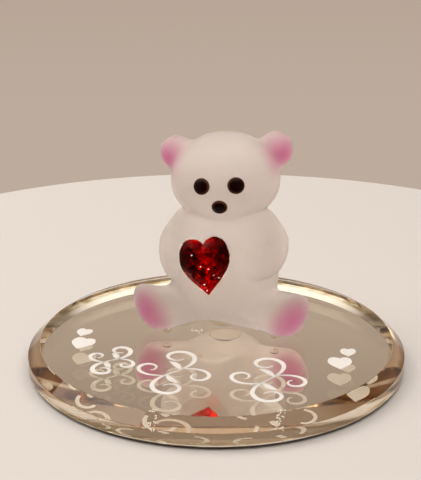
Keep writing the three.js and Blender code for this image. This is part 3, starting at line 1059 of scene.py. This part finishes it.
# Pale specks on the bevel, painted glints, by how far round the plate they lie from its front, in degrees.
BEVEL_GLINT_SPECKS = {"bevel_left": {"bearing": -8.5, "seed": 11}, "bevel_right": {"bearing": 29.5, "seed": 14}}
SPECKS_FROM_RIM = 1.6
SPECK_PATCH = (0.8, 2.1, 0.02)
SPECK_COUNT = 32


def glue_bubbles(tree, name, place, patch, count, seed, axes=BEAR_AXES):
    """A patch of bubbles in the pale speck finish, painted glints, its place given in the axes that hold it.
    """
    middle = axes @ Vector(place)
    values = {
        "Count": count,
        "Patch": tuple(Vector(patch) * MM),
        "Radius": BUBBLE_RADIUS * MM,
        "Seed": seed,
        "Place": tuple(middle * MM),
        "Brim": (PLATE_RADIUS - BEVEL_WIDTH) * MM,
        "Fall": BEVEL_DROP / BEVEL_WIDTH,
        "Air": GLINT_SPECK_PAINT,
    }
    mesh = tree.grow(name + "_bubbles", values)
    mesh.shade_smooth()
    finished(in_scene(name + "_bubbles", mesh), GLINT_SPECK_PAINT, "clear_adhesive")


# Painted glints: a patch of pale specks on the bevel.
def bevel_glint_specks(tree, name, bearing, seed):
    around = math.radians(bearing)
    reach = PLATE_RADIUS - SPECKS_FROM_RIM
    place = (reach * math.sin(around), -reach * math.cos(around), TOP_LEVEL)
    glue_bubbles(tree, name, place, SPECK_PATCH, SPECK_COUNT, seed, Matrix.Identity(4))


# ------------------------------ room and camera

TABLE_RADIUS = 113
TABLE_MIDDLE = (0, 10)
TABLE_THICKNESS = 30
TABLE_COLOUR = (0.66, 0.645, 0.65)


def room():
    """The table that the plate stands on: a round top with a soft brim."""
    radius, base = TABLE_RADIUS, -TABLE_THICKNESS
    profile = [(0, base), (radius - 2, base), (radius, base + 2), (radius, -2)]
    profile += [(radius - 0.6, -0.6), (radius - 2, -FILM), (0, -FILM)]
    axes = Matrix.Translation((*TABLE_MIDDLE, 0))
    table = lathe("table_top", profile, 192, sharp=(5,), axes=axes)
    paint = Finish("table_paint", Base_Color=(*TABLE_COLOUR, 1), Roughness=0.55)
    table.data.materials.append(paint.material)


def lamp(name, place, target, size, power, colour):
    """A soft square lamp looking at a point, in millimetres."""
    data = bpy.data.lights.new(name, "AREA")
    data.size = size * MM
    data.energy = power
    data.color = colour
    light = in_scene(name, data)
    light.location = Vector(place) * MM
    light.rotation_euler = (Vector(target) - Vector(place)).to_track_quat("-Z", "Y").to_euler()


# The room by the height and by the depth of a direction, from -1 to 1, as place and colour.
ROOM_BY_HEIGHT = [
    (-1, (0.5, 0.4, 0.33)),
    (-0.28, (0.51, 0.41, 0.335)),
    (-0.22, (0.475, 0.375, 0.305)),
    (0.4, (0.48, 0.39, 0.32)),
    (0.5, (0.2, 0.15, 0.11)),
    (0.66, (0.27, 0.21, 0.16)),
    (0.76, (1.4, 1.31, 1.19)),
    (0.95, (1.74, 1.64, 1.51)),
    (0.97, (0.62, 0.55, 0.48)),
    (1, (0.62, 0.55, 0.48)),
]
ROOM_BY_FRONT = [
    (-1, (0.04, 0.028, 0.02)),
    (-0.86, (0.06, 0.045, 0.035)),
    (-0.74, (0.9, 0.84, 0.79)),
    (-0.4, (1.3, 1.28, 1.26)),
    (0.3, (1.25, 1.24, 1.23)),
    (0.6, (1, 1, 1)),
    (1, (1, 1, 1)),
]


def lighting():
    """A room that is dark before the bear's face, seen directly as a plain backdrop, and a lamp."""
    world = bpy.data.worlds.new("room_light")
    bpy.context.scene.world = world
    world.use_nodes = True
    tree = Nodes(world.node_tree)
    way = tree.node("ShaderNodeTexCoord").outputs["Generated"]
    parts = tree.node("ShaderNodeSeparateXYZ", way).outputs
    by_height, by_front = (
        tree.ramp(tree.spread(parts[axis], -1), [((place + 1) / 2, colour) for place, colour in stops])
        for axis, stops in (("Z", ROOM_BY_HEIGHT), ("Y", ROOM_BY_FRONT))
    )
    around = tree.blend(1, by_height, by_front, blend_type="MULTIPLY")
    direct = tree.node("ShaderNodeLightPath").outputs["Is Camera Ray"]
    background = world.node_tree.nodes["Background"]
    tree.fill(background.inputs["Color"], tree.blend(direct, around, by_height))
    lamp("soft_lamp", (-430, -40, 430), (0, 0, 20), 420, 1.3, (1, 0.93, 0.85))


CAMERA_TURN = 10.5
CAMERA_RISE = 20.83
CAMERA_DISTANCE = 350
CAMERA_TARGET = (-1.15, -0.213, 26.99)
CAMERA_LENS = 132.2


def camera():
    data = bpy.data.cameras.new("camera")
    data.lens = CAMERA_LENS
    data.sensor_width = 36
    data.clip_start = 0.01
    data.clip_end = 20
    turn, rise = math.radians(CAMERA_TURN), math.radians(CAMERA_RISE)
    back = Vector((math.sin(turn) * math.cos(rise), -math.cos(turn) * math.cos(rise), math.sin(rise)))
    eye = in_scene("camera", data)
    eye.location = (Vector(CAMERA_TARGET) + CAMERA_DISTANCE * back) * MM
    eye.rotation_euler = (-back).to_track_quat("-Z", "Y").to_euler()
    bpy.context.scene.camera = eye


def colour_handling():
    scene = bpy.context.scene
    scene.view_settings.view_transform = "Standard"
    scene.cycles.use_denoising = True
    scene.cycles.max_bounces = 40
    scene.cycles.glossy_bounces = 32
    scene.cycles.transmission_bounces = 32
    scene.cycles.diffuse_bounces = 4


# ------------------------------ the whole object

FROSTED_GLASS = frosted_glass()
BEAD_GLASS = bead_glass()
RED_CRYSTAL = red_crystal()
STONE_FOIL = stone_foil()
PLATE_GLASS = plate_glass()
CLEAR_VINYL = clear_vinyl()
WHITE_INK = white_ink()
CLEAR_GLUE = clear_glue()
GLINT_SPECK_PAINT = pale_bubble()
GLINT_FLAKE_PAINT = bright_chip()

camera()
room()
lighting()
colour_handling()

mirror_plate()
own = {"silver_coating": mirror_silver(), "backing_paint": backing_paint(), "heart_adhesive": CLEAR_GLUE}
for node, material in own.items():
    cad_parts[node].data.materials.clear()
    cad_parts[node].data.materials.append(material)
for number in range(1, 5):
    bumper(f"bumper_{number}")
pen = pen_tree()
for name, form in FLOURISHES.items():
    flourish(pen, name, **form)
for size, form in PRINT_HEARTS.items():
    for side, word in ((-1, "left"), (1, "right")):
        print_heart(f"print_heart_{size}_{word}", side, **form)
frosted_bear()
for name, form in BEADS.items():
    glass_bead(name, **form)
heart_stone()
stone_glints()
bubbles = bubble_tree()
for name, form in BUBBLES.items():
    glue_bubbles(bubbles, name, **form)
for name, form in BEVEL_GLINT_SPECKS.items():
    bevel_glint_specks(bubbles, name, **form)
for name in ("seat_adhesive", "foot_adhesive_left", "foot_adhesive_right"):
    glue_pool(name)
